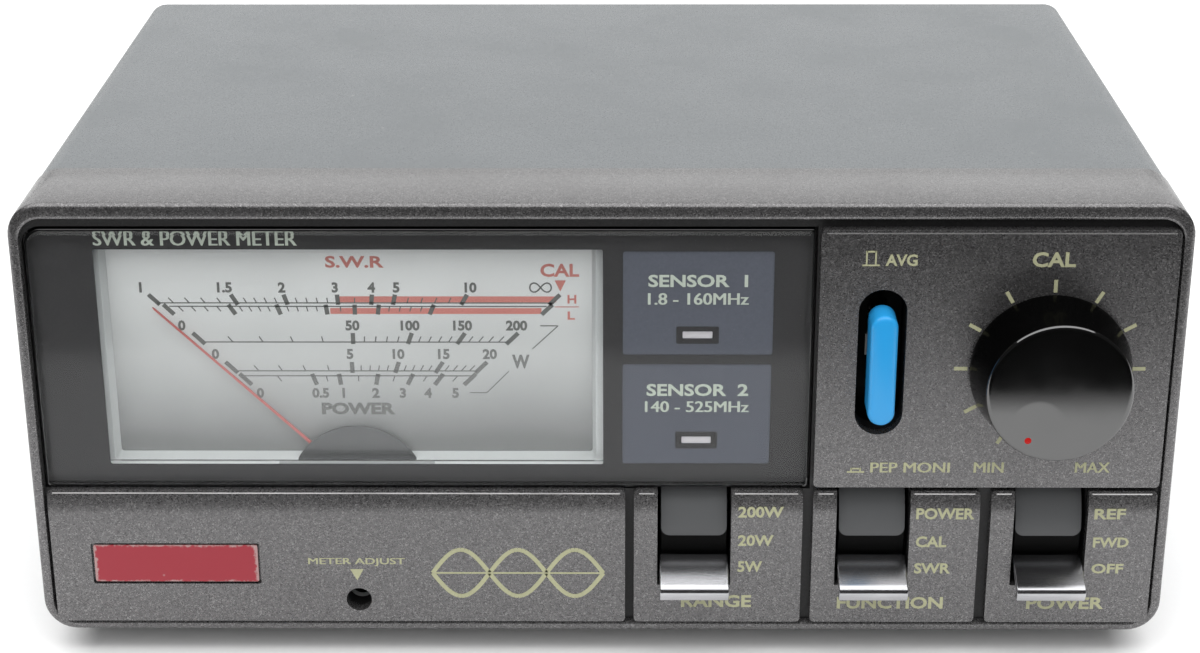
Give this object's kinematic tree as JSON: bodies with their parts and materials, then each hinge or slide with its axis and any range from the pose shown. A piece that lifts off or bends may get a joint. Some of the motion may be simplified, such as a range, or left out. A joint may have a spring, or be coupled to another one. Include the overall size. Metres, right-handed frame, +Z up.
{
  "type": "swr and power meter",
  "caption": "Bench SWR and power meter for amateur radio: cased dial with swinging needle, calibration knob, blue push button, chrome lever switches and rear coax sockets.",
  "frame": {"origin": "bottom centre of the whole object, on the surface it stands on", "axes": "+X to the right as seen from the front, +Y from the front to the back, +Z up"},
  "size_m": [0.155, 0.1264, 0.067],
  "materials": {
    "bezel_paint": "fine metallic charcoal paint on moulded plastic, light sparkle grain",
    "cover_paint": "smooth dark grey satin enamel",
    "zinc_sheet": "zinc-plated sheet steel",
    "black_acrylic": "polished acrylic with a black back print",
    "badge_red": "dull red enamel with a pale worn edge",
    "meter_white": "off-white moulded plastic and paint",
    "clear_plastic": "clear polished plastic",
    "needle_red": "thin red lacquer",
    "copper": "enamelled copper wire",
    "magnet_steel": "bare magnet alloy and soft iron",
    "brass": "bright brass",
    "nickel": "bright nickel plate",
    "lamp_lens": "diffusing lens, unlit",
    "knob_black": "polished black plastic",
    "button_blue": "satin blue plastic",
    "black_plastic": "smooth black plastic",
    "board_green": "green solder mask",
    "insulator_cream": "cream moulded insulator",
    "rubber": "matt black rubber",
    "screw_black": "black oxide",
    "chrome": "satin chrome plate"
  },
  "bodies": {
    "root": {"badge_plate": "badge_red", "chassis": "zinc_sheet", "core_magnet": "magnet_steel", "cover_screw_left_front": "screw_black", "cover_screw_left_rear": "screw_black", "cover_screw_right_front": "screw_black", "cover_screw_right_rear": "screw_black", "dc_jack": "black_plastic", "display_window": "black_acrylic", "front_bezel": "bezel_paint", "function_switch_body": "zinc_sheet", "hairspring": "brass", "hub_cover": "black_plastic", "main_board": "board_green", "meter_case": "meter_white", "meter_cover": "clear_plastic", "pivot_bridge": "brass", "pot_body": "zinc_sheet", "pot_nut": "nickel", "power_switch_body": "zinc_sheet", "push_spring": "nickel", "push_switch_body": "black_plastic", "range_switch_body": "zinc_sheet", "rubber_foot_left_front": "rubber", "rubber_foot_left_rear": "rubber", "rubber_foot_right_front": "rubber", "rubber_foot_right_rear": "rubber", "scale_plate": "meter_white", "selector_body": "zinc_sheet", "sensor_1_ant_insulator": "insulator_cream", "sensor_1_ant_socket": "nickel", "sensor_1_box": "zinc_sheet", "sensor_1_line": "brass", "sensor_1_tx_insulator": "insulator_cream", "sensor_1_tx_socket": "nickel", "sensor_2_ant_insulator": "insulator_cream", "sensor_2_ant_socket": "nickel", "sensor_2_box": "zinc_sheet", "sensor_2_line": "brass", "sensor_2_tx_insulator": "insulator_cream", "sensor_2_tx_socket": "nickel", "sensor_lamp_1": "lamp_lens", "sensor_lamp_2": "lamp_lens", "top_cover": "cover_paint", "yoke_ring": "magnet_steel"},
    "cal_knob_body": {"cal_knob": "knob_black", "pot_shaft": "nickel"},
    "push_button_body": {"push_button": "button_blue", "push_plunger": "meter_white"},
    "range_lever_body": {"range_lever": "black_plastic", "range_paddle": "chrome"},
    "function_lever_body": {"function_lever": "black_plastic", "function_paddle": "chrome"},
    "power_lever_body": {"power_lever": "black_plastic", "power_paddle": "chrome"},
    "needle_body": {"needle": "needle_red", "moving_coil": "copper"},
    "zero_screw_body": {"zero_adjust_screw": "nickel"},
    "zero_lever_body": {"zero_lever": "brass"},
    "selector_body_slider": {"selector_slider": "black_plastic"}
  },
  "joints": [
    {"name": "cal_knob_turn", "type": "hinge", "parent": "root", "child": "cal_knob_body", "pos_m": [0.0596, -0.05475, 0.0441], "axis": [0, 1, 0], "range_deg": [0, 300]},
    {"name": "push_button_press", "type": "slide", "parent": "root", "child": "push_button_body", "axis": [0, 1, 0], "range_m": [0, 0.0024], "stiffness_N_per_m": 400, "springref_m": -0.001},
    {"name": "range_lever_tilt", "type": "hinge", "parent": "root", "child": "range_lever_body", "pos_m": [0.01274, -0.04375, 0.0186], "axis": [-1, 0, 0], "range_deg": [0, 38]},
    {"name": "function_lever_tilt", "type": "hinge", "parent": "root", "child": "function_lever_body", "pos_m": [0.03713, -0.04375, 0.0186], "axis": [-1, 0, 0], "range_deg": [0, 38]},
    {"name": "power_lever_tilt", "type": "hinge", "parent": "root", "child": "power_lever_body", "pos_m": [0.0613, -0.04375, 0.0186], "axis": [-1, 0, 0], "range_deg": [0, 38]},
    {"name": "needle_swing", "type": "hinge", "parent": "root", "child": "needle_body", "pos_m": [-0.0335, -0.0481, 0.024], "axis": [0, 1, 0], "range_deg": [0, 90], "stiffness_Nm_per_rad": 0.00002, "springref_deg": -22.92},
    {"name": "zero_screw_turn", "type": "hinge", "parent": "root", "child": "zero_screw_body", "pos_m": [-0.0335, -0.05015, 0.00913], "axis": [0, 1, 0], "range_deg": [-45, 45]},
    {"name": "zero_lever_swing", "type": "hinge", "parent": "root", "child": "zero_lever_body", "pos_m": [-0.0335, -0.04245, 0.024], "axis": [0, 1, 0], "range_deg": [-4, 4]},
    {"name": "selector_slide", "type": "slide", "parent": "root", "child": "selector_body_slider", "axis": [0, 0, -1], "range_m": [0, 0.0038]}
  ],
  "couplings": [
    {"joint": "zero_lever_swing", "follows": "zero_screw_turn", "ratio": -0.07}
  ]
}
